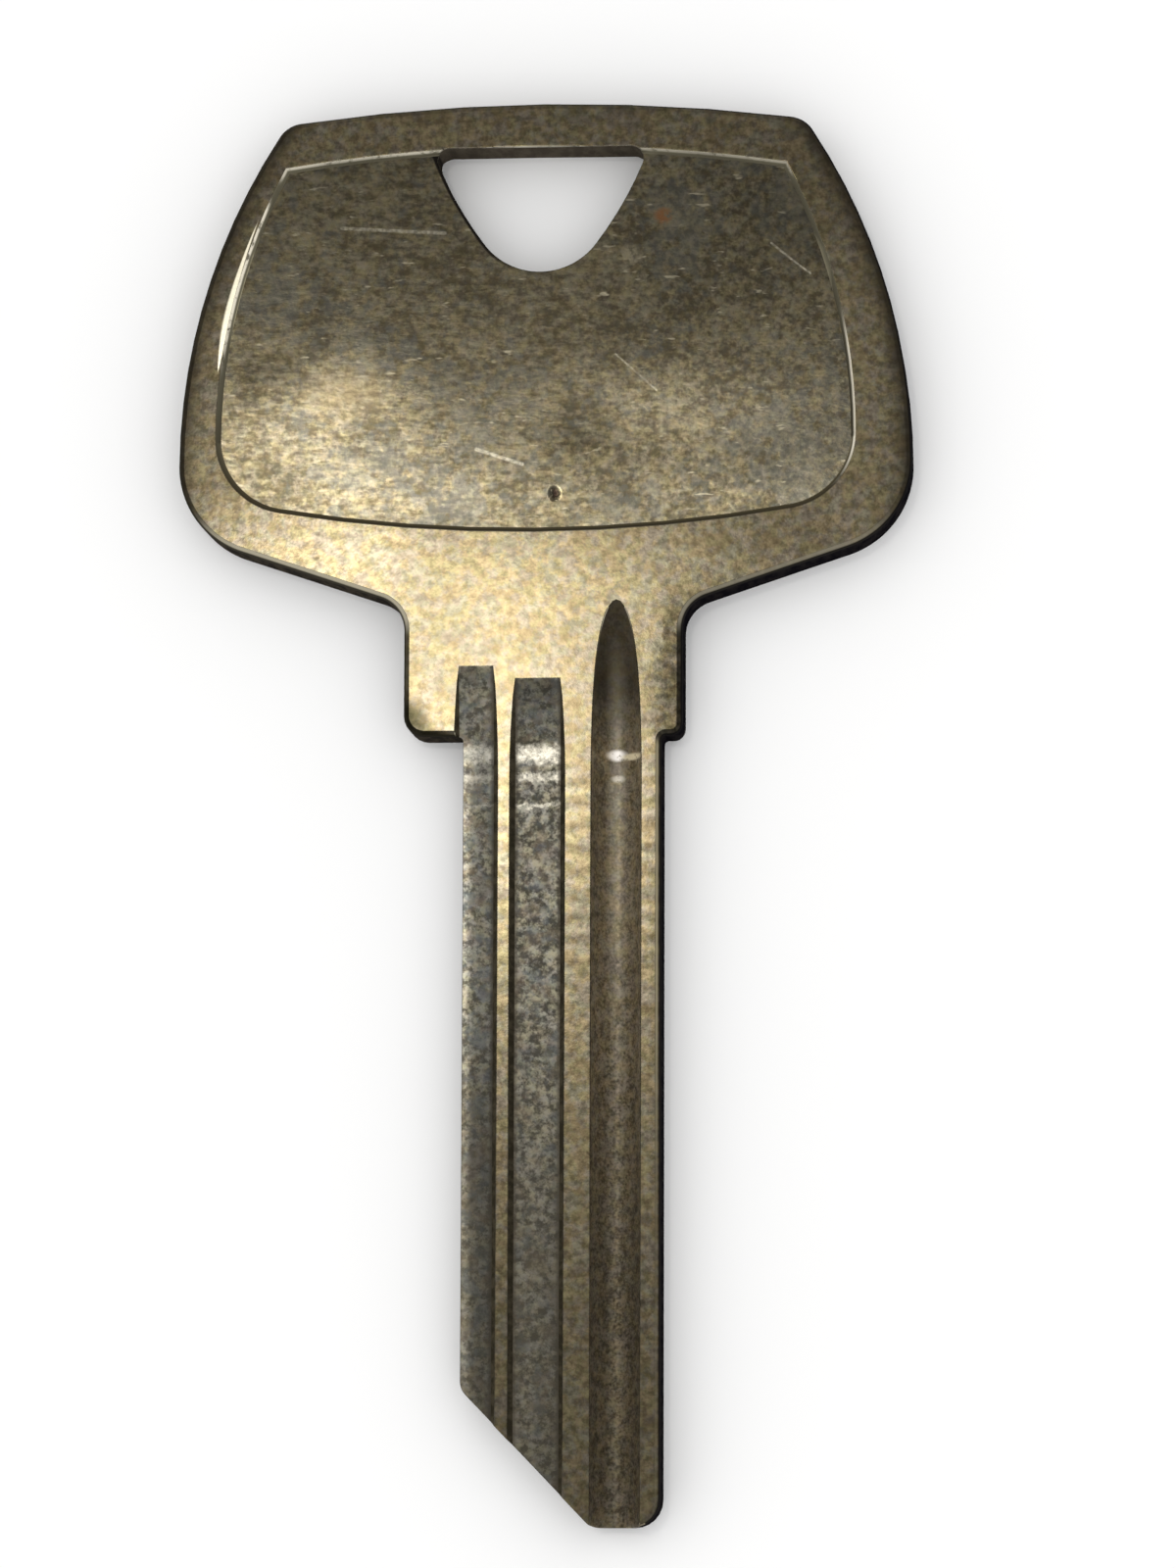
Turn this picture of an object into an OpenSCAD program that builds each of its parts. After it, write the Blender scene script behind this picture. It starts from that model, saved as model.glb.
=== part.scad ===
// Key blank for a six-pin cylinder lock, uncut, punched and coined from one strip of nickel silver.
// The back face lies on z = 0 and the photographed face is at z = thickness.
// The origin is on the back face, on the blade's middle line, level with the shoulder that stops the key.
// +Y runs from the tip to the bow, +X is right when the photographed face is seen bow up.

/* [Strip] */
// Thickness of the strip the key is punched from
thickness = 2.3; // [2.1:0.05:2.8]

/* [Bow] */
// Width of the bow at its widest
bow_w = 31.5; // [28:0.5:36]
// Height of the bow's top above the shoulder
bow_top = 27.45; // [27:0.05:30]
// Height above the shoulder where the bow is widest
bow_wide_y = 11.8; // [11:0.1:12.6]
// Radius of the bow's long side curve
bow_side_r = 26.5; // [24:0.5:32]
// Radius of the bow's arched top
bow_top_r = 80; // [60:5:120]
// Radius of the bow's two upper corners
bow_upper_r = 1.3; // [0.8:0.1:2.5]
// Radius of the bow's two lower corners
bow_lower_r = 4; // [3:0.1:5]
// Slope of the bow's lower edge, in degrees
bow_slope = 18.5; // [15:0.5:22]
// Width of the edge that the punch rolled over, on the photographed face
edge_roll = 0.25; // [0.15:0.05:0.4]

/* [Panel] */
// Width of the rim beside the sunk panel, where both are widest
rim_side = 2; // [1.7:0.1:3.5]
// Width of the rim above the panel
rim_top = 1.87; // [1.6:0.01:3]
// Height of the panel's lower edge above the shoulder
panel_low = 8.8; // [8.4:0.1:10]
// How far the panel's middle line lies from the bow's, to the right
panel_shift = -0.4; // [-0.6:0.05:0.2]
// Depth of the panel below the rim
panel_depth = 0.25; // [0.1:0.05:0.5]
// Width of the panel's sloped step, seen from above
panel_step = 0.2; // [0.1:0.05:0.5]
// Radius of the panel's long side curve
panel_side_r = 25; // [20:0.5:30]
// Radius of the panel's arched top
panel_top_r = 70; // [60:5:100]
// Radius of the panel's curved lower edge
panel_low_r = 66; // [50:2:100]
// Radius of the panel's two lower corners
panel_corner_r = 3.3; // [2.5:0.1:4.5]

/* [Key ring hole] */
// Width of the hole, at its straight top
hole_w = 8.9; // [7.5:0.1:10]
// Height of the hole, from its straight top to its round bottom
hole_h = 5.4; // [5:0.1:6.5]
// Solid metal from the hole's straight top to the top of the bow
hole_rim = 1.92; // [1.7:0.01:2.5]
// How far the hole's middle line lies from the bow's, to the right
hole_shift = -0.2; // [-0.5:0.05:0.5]
// Radius of the hole's round bottom
hole_low_r = 3; // [2.5:0.1:3.4]
// Radius of the hole's bulging sides
hole_side_r = 16; // [12:0.5:24]
// Radius of the hole's two upper corners
hole_corner_r = 0.5; // [0.3:0.05:0.9]

/* [Neck] */
// Width of the shoulder that stops the key, past the blade's bitting edge
shoulder_w = 2.53; // [1.8:0.01:3]
// Width of the small heel past the blade's spine
heel_w = 0.9; // [0.6:0.01:1.5]
// Radius where the neck flows into the bow
neck_top_r = 1.5; // [0.8:0.1:2]
// Radius of the neck's outer corner at the shoulder that stops the key
shoulder_r = 0.9; // [0.4:0.1:1.3]
// Radius of the heel's lower corner
heel_r = 0.5; // [0.2:0.05:0.6]
// Radius in the corner between the shoulder and the blade
root_r = 0.2; // [0.1:0.05:0.3]

/* [Blade] */
// Height of the uncut blade, from its bitting edge to its spine
blade_h = 8.5; // [8.2:0.05:8.8]
// Length of the blade from the shoulder to the tip
blade_len = 33.5; // [28:0.5:38]
// Width of the flat at the very tip
tip_flat = 2.9; // [2.4:0.1:3.6]
// Slope of the tip's long bevel, in degrees from square
tip_slope = 46; // [40:1:50]
// Radius of the spine's corner at the tip
tip_spine_r = 1.2; // [0.6:0.1:1.6]
// Radius of the two corners of the tip's bevel
tip_bevel_r = 0.8; // [0.3:0.1:1]

/* [Milled grooves] */
// Distance from the milling cutters' axis to the face they cut
cutter_reach = 25; // [15:1:40]
// Length over which the grooves' floors climb out below the shoulder
cutter_stop = 2; // [0.5:0.1:4]
// How much a flat groove narrows from the face to its floor, on each side
wall_slant = 0.2; // [0.05:0.01:0.25]
// Depth of the open groove along the bitting edge
edge_groove_d = 0.5; // [0.3:0.05:0.7]
// Width that the open groove takes of the blade
edge_groove_w = 1.52; // [1.2:0.02:1.7]
// Width of the narrow land beside the open groove
narrow_land_w = 0.53; // [0.4:0.01:0.6]
// Depth of the wide flat groove
wide_groove_d = 0.4; // [0.3:0.05:0.6]
// Width of the wide flat groove at the face
wide_groove_w = 2.34; // [2:0.02:2.6]
// Width of the land between the wide and the deep groove
middle_land_w = 1.13; // [0.9:0.01:1.3]
// Depth of the deep round groove
deep_groove_d = 1.2; // [0.9:0.05:1.3]
// Width of the deep round groove at the face
deep_groove_w = 2.13; // [1.8:0.01:2.3]
// Half height of the ellipse that the deep groove's section follows
deep_ellipse = 1.9; // [1.5:0.1:2.5]
// Depth of the two grooves in the back face
back_groove_d = 0.6; // [0.3:0.05:0.7]
// Width of the two grooves in the back face
back_groove_w = 1.1; // [0.8:0.05:1.4]
// Metal left between the blade's middle line and the nearer back groove
back_land = 0.4; // [0.3:0.05:0.6]

/* [Hidden] */

// Fineness of the curves, in degrees for each short straight
arc_step = 3;
// Short straights in a small corner, whatever its radius
corner_steps = 6;
// Short straights in half of the panel's top and in its side, whose angles change with the inset
panel_top_steps = 6;
panel_side_steps = 12;
// Fineness of the rolled edge's section, in degrees
roll_step = 22.5;
// Short straights on each side of the deep groove's middle
nose_steps = 8;
// Short straights in a milling cutter's whole turn
cutter_steps = 720;
// Extra turn of a cutter past the face that it leaves, in degrees
climb_over = 2;
// Extra reach of a cut past the face it opens
over = 1;
// The same for the rolled edge, kept less than the least radius between the heel and the blade
roll_over = 0.08;
// Least radius that the rolled edge leaves on a corner
least_r = 0.02;
// Least straight left between two fillets
least_flat = 0.08;
// How far the open groove's floor reaches past the bitting edge
groove_lap = 0.16;

top_centre = [0, bow_top - bow_top_r];
side_centre = [bow_w / 2 - bow_side_r, bow_wide_y];
lower_centre = [bow_w / 2 - bow_lower_r, bow_wide_y];
spine_x = blade_h / 2;
bitting_x = -blade_h / 2;
tip_flat_x = spine_x - tip_flat;
neck_left = bitting_x - shoulder_w;
neck_right = spine_x + heel_w;
neck_half = (neck_right - neck_left) / 2;
bow_shift = (neck_left + neck_right) / 2;
heel_round = min(heel_r, heel_w - root_r - least_flat);
shoulder_round = min(shoulder_r, shoulder_w - root_r - least_flat);

// The open groove starts a little outside the blade, so its outer wall shows in the neck only
edge_groove_out = wall_slant + groove_lap;
edge_groove_x = bitting_x - edge_groove_out;
wide_groove_x = bitting_x + edge_groove_w + narrow_land_w;
deep_groove_x = wide_groove_x + wide_groove_w + middle_land_w;

hole_top = bow_top - hole_rim;
hole_low_centre = [0, hole_top - hole_h + hole_low_r];
hole_corner_centre = [hole_w / 2 - hole_corner_r, hole_top - hole_corner_r];

panel_w = bow_w - 2 * rim_side;
panel_top_centre = [0, bow_top - rim_top - panel_top_r];
panel_low_centre = [0, panel_low + panel_low_r];
panel_corner_x = panel_w / 2 - panel_corner_r;
panel_wide_y = panel_low_centre[1]
    - sqrt((panel_low_r - panel_corner_r) ^ 2 - panel_corner_x ^ 2);
panel_corner_centre = [panel_corner_x, panel_wide_y];
panel_side_centre = [panel_w / 2 - panel_side_r, panel_wide_y];

// Direction from one point to another, in degrees
function heading(from, to) = atan2(to[1] - from[1], to[0] - from[0]);

// Points along an arc from angle a to angle b
function arc(centre, r, a, b, steps = 0) =
    let (n = steps > 0 ? steps : max(2, ceil(abs(b - a) / arc_step)))
    [for (i = [0 : n]) let (t = a + (b - a) * i / n) centre + r * [cos(t), sin(t)]];

// The point right of the line from c1 to c2 that is r1 from c1 and r2 from c2
function meet(c1, r1, c2, r2) =
    let (gap = norm(c2 - c1), u = (c2 - c1) / gap, along = (gap ^ 2 + r1 ^ 2 - r2 ^ 2) / (2 * gap),
         off = sqrt(r1 ^ 2 - along ^ 2))
    c1 + along * u + off * [u[1], -u[0]];

// The same angle, moved by whole turns to lie within half a turn of another
function near(angle, other) = angle - 360 * round((angle - other) / 360);

// The arc of radius r that rounds the corner b between a and c
function rounded(a, b, c, r) =
    let (u = (a - b) / norm(a - b), v = (c - b) / norm(c - b), half = acos(u * v) / 2,
         centre = b + (u + v) / norm(u + v) * r / sin(half), reach = r / tan(half),
         start = heading(centre, b + u * reach), end = heading(centre, b + v * reach))
    arc(centre, r, start, near(end, start), corner_steps);

// A path of corners [x, y, radius], each one rounded, from the second to the last but one
function rounded_path(corners) =
    [for (i = [1 : len(corners) - 2])
        let (a = corners[i - 1], b = corners[i], c = corners[i + 1])
        each rounded([a[0], a[1]], [b[0], b[1]], [c[0], c[1]], b[2])];

function reversed(points) = [for (i = [len(points) - 1 : -1 : 0]) points[i]];
function mirrored(points) = [for (p = reversed(points)) if (p[0] > 0) [-p[0], p[1]]];
function moved(points, shift) = [for (p = points) p + shift];

// Right half of the bow about its own middle line, from the top down to the neck, drawn in by inset
function bow_half(inset) =
    let (upper_r = bow_upper_r - inset, lower_r = bow_lower_r - inset, side_r = bow_side_r - inset,
         top_r = bow_top_r - inset, fillet_r = neck_top_r + inset,
         upper = meet(top_centre, bow_top_r - bow_upper_r, side_centre, bow_side_r - bow_upper_r),
         foot = lower_centre + bow_lower_r * [sin(bow_slope), -cos(bow_slope)],
         fillet_x = neck_half + neck_top_r,
         fillet = [fillet_x, foot[1] + (fillet_x - foot[0]) * tan(bow_slope)
             - neck_top_r / cos(bow_slope)],
         from_top = heading(top_centre, upper), to_side = heading(side_centre, upper))
    [each arc(top_centre, top_r, 90, from_top),
     each arc(upper, upper_r, from_top, to_side),
     each arc(side_centre, side_r, to_side, 0),
     each arc(lower_centre, lower_r, 0, bow_slope - 90),
     each arc(fillet, fillet_r, 90 + bow_slope, 180)];

// The neck's two lower corners, drawn in by inset
function heel_corner(inset) =
    rounded([spine_x, inset], [neck_right - inset, inset], [neck_right - inset, bow_wide_y],
            max(heel_round - inset, least_r));
function shoulder_corner(inset) =
    rounded([neck_left + inset, bow_wide_y], [neck_left + inset, inset], [bitting_x, inset],
            max(shoulder_round - inset, least_r));

// The bow and neck, from the heel round the bow to the shoulder, drawn in by inset
function head_path(inset) =
    let (half = bow_half(inset))
    [each heel_corner(inset),
     each moved(reversed(half), [bow_shift, 0]),
     each moved([for (p = half) if (p[0] > 0) [-p[0], p[1]]], [bow_shift, 0]),
     each shoulder_corner(inset)];

// The blade below the shoulder, from its bitting edge round the tip to its spine
function blade_path() =
    rounded_path([
        [neck_left + shoulder_round, 0, 0],
        [bitting_x, 0, root_r],
        [bitting_x, -blade_len + (tip_flat_x - bitting_x) * tan(tip_slope), tip_bevel_r],
        [tip_flat_x, -blade_len, tip_bevel_r],
        [spine_x, -blade_len, tip_spine_r],
        [spine_x, 0, root_r],
        [neck_right - heel_round, 0, 0]]);

module blank_outline() polygon([each head_path(0), each blade_path()]);

// The panel's outline about its own middle line, drawn in by inset
function panel_half(inset) =
    let (top_r = panel_top_r - inset, side_r = panel_side_r - inset, low_r = panel_low_r - inset,
         corner = meet(panel_top_centre, top_r, panel_side_centre, side_r),
         low_angle = heading(panel_low_centre, panel_corner_centre))
    [each arc(panel_top_centre, top_r, 90, heading(panel_top_centre, corner), panel_top_steps),
     each arc(panel_side_centre, side_r, heading(panel_side_centre, corner), 0, panel_side_steps),
     each arc(panel_corner_centre, panel_corner_r - inset, 0, low_angle),
     each arc(panel_low_centre, low_r, low_angle, -90)];

function panel_outline(inset) =
    let (half = panel_half(inset))
    moved([each half, each mirrored(half)], [bow_shift + panel_shift, 0]);

module ring_hole_outline() {
    side_centre = meet(hole_corner_centre, hole_side_r - hole_corner_r,
                       hole_low_centre, hole_side_r - hole_low_r);
    half = [
        each arc(hole_corner_centre, hole_corner_r, 90, heading(side_centre, hole_corner_centre),
                 corner_steps),
        each arc(side_centre, hole_side_r, heading(side_centre, hole_corner_centre),
                 heading(side_centre, hole_low_centre)),
        each arc(hole_low_centre, hole_low_r, heading(side_centre, hole_low_centre), -90)];
    translate([bow_shift + hole_shift, 0]) polygon([each half, each mirrored(half)]);
}

// A closed skin over rings of points, with both ends capped
module skin(rings) {
    n = len(rings[0]);
    last = len(rings) - 1;
    polyhedron(
        points = [for (ring = rings) each ring],
        faces = [
            [0, for (i = [n - 1 : -1 : 1]) i],
            for (k = [0 : last - 1], i = [0 : n - 1])
                let (a = k * n + i, b = k * n + (i + 1) % n) each [[a, b, b + n], [a, b + n, a + n]],
            [for (i = [0 : n - 1]) last * n + i]]);
}

function at_height(points, z) = [for (p = points) [p[0], p[1], z]];

// The sunk panel with its sloped step, as the metal that it takes out of the photographed face
module panel_recess() {
    skin([at_height(panel_outline(panel_step), thickness - panel_depth),
          at_height(panel_outline(0), thickness),
          at_height(panel_outline(0), thickness + over)]);
}

// The spine's side of the blade, from the tip up to the heel, drawn in by inset
function spine_path(inset) =
    [each rounded([tip_flat_x, inset - blade_len], [spine_x - inset, inset - blade_len],
                  [spine_x - inset, 0], tip_spine_r - inset),
     each rounded([spine_x - inset, -blade_len], [spine_x - inset, inset], [neck_right, inset],
                  root_r + inset)];

// What the rolled edge takes off, in section: how far inside the outline, and how far above the face
roll_section = [
    [-roll_over, roll_over], [edge_roll, roll_over],
    each [for (t = [90 : -roll_step : 0]) edge_roll * [1 - cos(t), sin(t) - 1]],
    [-roll_over, -edge_roll]];

// The rolled edge, from the deep groove at the tip up the spine and round the bow to the open groove
module rolled_edge() {
    tip_end = deep_groove_x + deep_groove_w / 2;
    shoulder_end = bitting_x + root_r;
    paths = [for (q = roll_section)
        [[tip_end, q[0] - blade_len], each spine_path(q[0]), each head_path(q[0]), [shoulder_end, q[0]]]];
    skin([for (i = [0 : len(paths[0]) - 1])
        [for (k = [0 : len(roll_section) - 1])
            [paths[k][i][0], paths[k][i][1], thickness + roll_section[k][1]]]]);
}

// Section of a flat-bottomed cutter: distance from its axis, then place across the blade
function flat_section(x, width, depth) = [
    [cutter_reach - over, x], [cutter_reach, x], [cutter_reach + depth, x + wall_slant],
    [cutter_reach + depth, x + width - wall_slant], [cutter_reach, x + width],
    [cutter_reach - over, x + width]];

// Section of the round-nosed cutter: part of an ellipse
function round_section(x, width, depth) =
    let (limit = acos(1 - depth / deep_ellipse), half = width / 2 / sin(limit))
    [[cutter_reach - over, x],
     each [for (i = [-nose_steps : nose_steps]) let (t = limit * i / nose_steps)
         [cutter_reach + depth + deep_ellipse * (cos(t) - 1), x + width / 2 + half * sin(t)]],
     [cutter_reach - over, x + width]];

// A groove milled from the tip up the blade, that climbs out along the cutter's own curve
module milled_groove(section, depth) {
    climb = acos(cutter_reach / (cutter_reach + depth)) + climb_over;
    translate([0, -cutter_stop, thickness + cutter_reach]) {
        rotate([0, 90, 0]) rotate_extrude(angle = climb, $fn = cutter_steps) polygon(section);
        rotate([90, 90, 0]) linear_extrude(blade_len - cutter_stop + over) polygon(section);
    }
}

module front_grooves() {
    milled_groove(flat_section(edge_groove_x, edge_groove_w + edge_groove_out, edge_groove_d),
                  edge_groove_d);
    milled_groove(flat_section(wide_groove_x, wide_groove_w, wide_groove_d), wide_groove_d);
    milled_groove(round_section(deep_groove_x, deep_groove_w, deep_groove_d), deep_groove_d);
}

module back_grooves() {
    for (x = [wide_groove_x - narrow_land_w / 2 - back_groove_w / 2, back_land])
        milled_groove(flat_section(x, back_groove_w, back_groove_d), back_groove_d);
}

// The same cut made in the back face
module in_back() translate([0, 0, thickness]) mirror([0, 0, 1]) children();

module key_blank() {
    color([0.56, 0.52, 0.42])
    difference() {
        linear_extrude(thickness) blank_outline();
        rolled_edge();
        panel_recess();
        front_grooves();
        in_back() {
            panel_recess();
            back_grooves();
        }
        translate([0, 0, -over]) linear_extrude(thickness + 2 * over) ring_hole_outline();
    }
}

key_blank();
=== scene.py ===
# %% [markdown]
# # A key blank in aged nickel silver
#
# This lesson dresses a CAD model of an uncut key for a photograph. The real piece is one flat
# stamping: the outline and the key-ring hole are punched from strip, the bow's panel is coined
# into it by a press, and three cutters on one arbor mill the grooves up the blade. So there is
# one piece to model, and its looks come from soft edges, from how each tool left its surface,
# and from the tarnish that years in a drawer put over all of it, with some light and shade
# painted into its colours as well.

# %% Load the fixed frame
import math
from collections import namedtuple

import bmesh
import bpy
from mathutils import Matrix, Vector


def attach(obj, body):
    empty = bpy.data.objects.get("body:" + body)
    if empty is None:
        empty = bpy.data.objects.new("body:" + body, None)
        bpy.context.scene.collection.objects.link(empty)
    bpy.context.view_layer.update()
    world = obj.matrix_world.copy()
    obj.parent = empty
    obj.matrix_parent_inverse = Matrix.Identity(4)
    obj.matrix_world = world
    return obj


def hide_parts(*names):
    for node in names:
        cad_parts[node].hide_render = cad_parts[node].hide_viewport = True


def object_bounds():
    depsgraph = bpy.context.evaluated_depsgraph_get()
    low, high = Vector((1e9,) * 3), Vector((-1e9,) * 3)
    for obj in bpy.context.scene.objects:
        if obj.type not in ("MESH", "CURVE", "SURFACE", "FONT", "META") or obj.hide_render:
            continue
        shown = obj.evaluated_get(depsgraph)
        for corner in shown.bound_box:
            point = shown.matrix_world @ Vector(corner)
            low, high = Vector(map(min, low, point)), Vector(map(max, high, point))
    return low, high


MM = 0.001  # a millimetre in the frame's metres
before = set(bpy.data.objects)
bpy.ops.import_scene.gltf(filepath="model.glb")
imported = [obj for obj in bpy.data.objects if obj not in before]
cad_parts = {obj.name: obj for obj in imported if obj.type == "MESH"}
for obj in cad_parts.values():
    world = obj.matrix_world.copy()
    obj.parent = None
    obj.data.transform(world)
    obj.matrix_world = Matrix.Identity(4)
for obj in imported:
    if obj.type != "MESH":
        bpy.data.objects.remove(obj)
cad_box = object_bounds()
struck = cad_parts["key_blank"]
print("CAD box, mm:", [[round(v / MM, 2) for v in corner] for corner in cad_box])

# %% [markdown]
# ## The places that matter
#
# Everything is in the maker's own frame: the origin is on the back face, in the middle of the
# blade, level with the shoulder, and y runs up from the tip to the bow. These few heights and
# widths, in millimetres, are how later cells find a face: a groove's floor, a land or the
# punched wall can all be told apart by where they lie and which way they look.

# %% Name the levels and widths
Arc = namedtuple("Arc", "middle radius")

STRIP = 2.3  # thickness of the strip
ROLL = 0.25  # width of the edge that the punch rolled over
BLADE_HALF = 4.25  # half the height of the blade
PANEL_DEPTH = 0.25
PANEL_LOW, GROOVE_TOP = 8.4, 6.2  # between these heights the neck is plain
PANEL_MIDDLE = (-1.215, 17.0)
PANEL_LEFT = Arc((10.035, 12.98), 25.0)  # the left edge of the panel
BOW_SIDES = Arc((9.935, 11.8), 26.5), Arc((-11.565, 11.8), 26.5)  # the left one and the right
HOLE_LEFT, HOLE_LOW = Arc((9.35, 30.98), 16.0), Arc((-1.015, 23.13), 3.0)
GROOVE_FEET = (-2.93, -2.0, -0.06)  # where the flat grooves' floors meet their sides
DEEP_SPAN, DEEP_AXIS = (1.2, 3.5), 2.3  # the deep groove's two sides, and its lowest line
print("levels: face", STRIP, "panel", round(STRIP - PANEL_DEPTH, 2))

# %% [markdown]
# ## A copy to work on
#
# The CAD mesh is loose triangles, so the copy is merged first: its doubled corners are joined,
# and the flat triangles that lie in one plane are dissolved into whole faces. Working on a copy
# of the struck shape, and not on a new primitive, keeps every measured size exactly.

# %% Copy and merge the struck blank
SAME_CORNER = 0.002 * MM
SAME_PLANE = math.radians(0.3)


def edit(piece):
    """Makes a piece the only selected one and opens it in edit mode."""
    bpy.ops.object.select_all(action="DESELECT")
    bpy.context.view_layer.objects.active = piece
    piece.select_set(True)
    bpy.ops.object.mode_set(mode="EDIT")


blank = bpy.data.objects.new("worn_blank", struck.data.copy())
bpy.context.scene.collection.objects.link(blank)
edit(blank)
bpy.ops.mesh.select_all(action="SELECT")
bpy.ops.mesh.remove_doubles(threshold=SAME_CORNER)
bpy.ops.mesh.dissolve_limited(angle_limit=SAME_PLANE)
bpy.ops.object.mode_set(mode="OBJECT")
print("merged:", len(blank.data.vertices), "corners,", len(blank.data.polygons), "faces")

# %% [markdown]
# ## Breaking the sharp edges
#
# No struck or milled edge is truly sharp, and a worn one shows as a thin bright line. A small
# bevel on every convex sharp edge gives the light something to catch: the lips of the grooves,
# the rim of the hole, the step of the panel and the outline of the blade. Hollow corners keep
# their sharp line, because nothing has rubbed there. Where three lips meet in a tight corner
# the bevel can push a point a little proud, so the last step presses all points back between
# the two faces of the strip.

# %% Select edges by their fold and bevel them
LIP = 0.035 * MM  # how far a milled or punched lip is worn back
SHARP = math.radians(30)
TOUCHING = 0.001 * MM


def select_sharp(piece, least_fold):
    """In edit mode, selects only the convex edges that fold more than an angle."""
    bpy.ops.mesh.select_mode(type="EDGE")
    bpy.ops.mesh.select_all(action="DESELECT")
    mesh = bmesh.from_edit_mesh(piece.data)
    chosen = [edge for edge in mesh.edges
              if len(edge.link_faces) == 2 and edge.calc_face_angle_signed(0) > least_fold]
    for edge in chosen:
        edge.select_set(True)
    bmesh.update_edit_mesh(piece.data)
    return len(chosen)


edit(blank)
lips = select_sharp(blank, SHARP)
bpy.ops.mesh.bevel(offset=LIP, segments=2, affect="EDGES", clamp_overlap=False)
bpy.ops.mesh.select_all(action="SELECT")
bpy.ops.mesh.remove_doubles(threshold=TOUCHING)
bpy.ops.object.mode_set(mode="OBJECT")
lowest, highest = cad_box[0][2], cad_box[1][2]
for point in blank.data.vertices:
    point.co.z = min(max(point.co.z, lowest), highest)
print("bevelled lips:", lips, "- now", len(blank.data.polygons), "faces")

# %% [markdown]
# ## Smooth where it should be smooth
#
# The rolled edge and the curves are made of short straights. Smooth shading up to an angle
# hides them, and weighted normals keep the broad flats truly flat next to the small bevels.

# %% Shade the piece
CURVED = math.radians(35)  # a gentler fold than this is part of a curve

bpy.ops.object.select_all(action="DESELECT")
bpy.context.view_layer.objects.active = blank
blank.select_set(True)
bpy.ops.object.shade_smooth_by_angle(angle=CURVED)
weighted = blank.modifiers.new("flats", "WEIGHTED_NORMAL")
weighted.keep_sharp = True
weighted.weight = 100
bpy.ops.object.modifier_apply(modifier=weighted.name)
print("shaded", blank.name)

# %% [markdown]
# ## Shader maths as plain expressions
#
# A finish is mostly arithmetic on noise. Wrapping a socket in a small class lets a recipe read
# like the sum it is, and one method makes any other node.

# %% A socket that can be added and multiplied
class Sock:
    """A shader socket with arithmetic, where each operation makes a node."""

    def __init__(self, tree, socket):
        self.tree, self.socket = tree, socket

    def node(self, kind, settings=(), output=0, **inputs):
        """Adds a node. Its sockets go by name, or by number as i0, i1 and so on."""
        made = self.tree.nodes.new(kind)
        for name, value in dict(settings).items():
            setattr(made, name, value)
        for name, value in inputs.items():
            numbered = name[0] == "i" and name[1:].isdigit()
            key = int(name[1:]) if numbered else name.replace("_", " ")
            if isinstance(value, Sock):
                self.tree.links.new(value.socket, made.inputs[key])
            else:
                made.inputs[key].default_value = value
        return Sock(self.tree, made.outputs[output])

    def math(self, operation, *values):
        inputs = {"i%d" % i: v for i, v in enumerate((self, *values))}
        return self.node("ShaderNodeMath", {"operation": operation}, **inputs)

    def vector(self, operation, *values, output=0, **named):
        inputs = {"i%d" % i: v for i, v in enumerate((self, *values))}
        inputs.update(named)
        return self.node("ShaderNodeVectorMath", {"operation": operation}, output, **inputs)

    def __add__(self, other):
        return self.math("ADD", other)

    __radd__ = __add__

    def __sub__(self, other):
        return self.math("SUBTRACT", other)

    def __rsub__(self, other):
        return self.math("MULTIPLY", -1) + other

    def __mul__(self, other):
        return self.math("MULTIPLY", other)

    __rmul__ = __mul__

    def __pow__(self, other):
        return self.math("POWER", other)

    def __abs__(self):
        return self.math("ABSOLUTE")

    def between(self, low, high):
        """0 below low, 1 above high, and a soft step between them."""
        return self.node("ShaderNodeMapRange", {"interpolation_type": "SMOOTHSTEP"},
                         Value=self, From_Min=low, From_Max=high)

    def below(self, low, high):
        """1 below low, 0 above high, and a soft step between them."""
        return 1 - self.between(low, high)

    def either(self, other):
        """The greater of two masks, which holds the places of both."""
        return self.math("MAXIMUM", other)

    def scaled(self, gain):
        """This place or colour times a number."""
        return self.vector("SCALE", Scale=gain)

    def tint(self, first, second):
        """The first colour where this mask is 0, and the second where it is 1."""
        mix = self.tree.nodes.new("ShaderNodeMix")
        mix.data_type = "RGBA"
        factor, first_colour, second_colour = (mix.inputs[i] for i in (0, 6, 7))
        self.tree.links.new(self.socket, factor)
        for socket, value in ((first_colour, first), (second_colour, second)):
            if isinstance(value, Sock):
                self.tree.links.new(value.socket, socket)
            else:
                socket.default_value = (*value, 1)
        return Sock(self.tree, mix.outputs[2])


print("maths ready")

# %% [markdown]
# ## The start of every finish
#
# All the finishes share their measure, which is the place on the key in millimetres, and the
# marks that years of use leave: spots and scratches. Each mark is a mask that is 1 on the mark
# and 0 off it, so a recipe can lay a colour through it. The marks were made on the upper face,
# so they stop inside the strip and leave the back clean. Spots also place painted highlights,
# glints and patches of painted shade.

# %% Noise, spots and scratches
CRESCENT_MIDDLE, CRESCENT_HALF = 19.2, 1 / 0.29  # its height on the bow, and half its length
FRONT_LOW, FRONT_HIGH = STRIP * 0.3, STRIP * 0.4  # both lie under the deep groove
BLUER, STRAWIER = (0.97, 0.99, 1.05), (1.05, 1.0, 0.83)
GREENER, PINKER = (0.98, 1.015, 0.98), (1.03, 0.985, 1.015)


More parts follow.
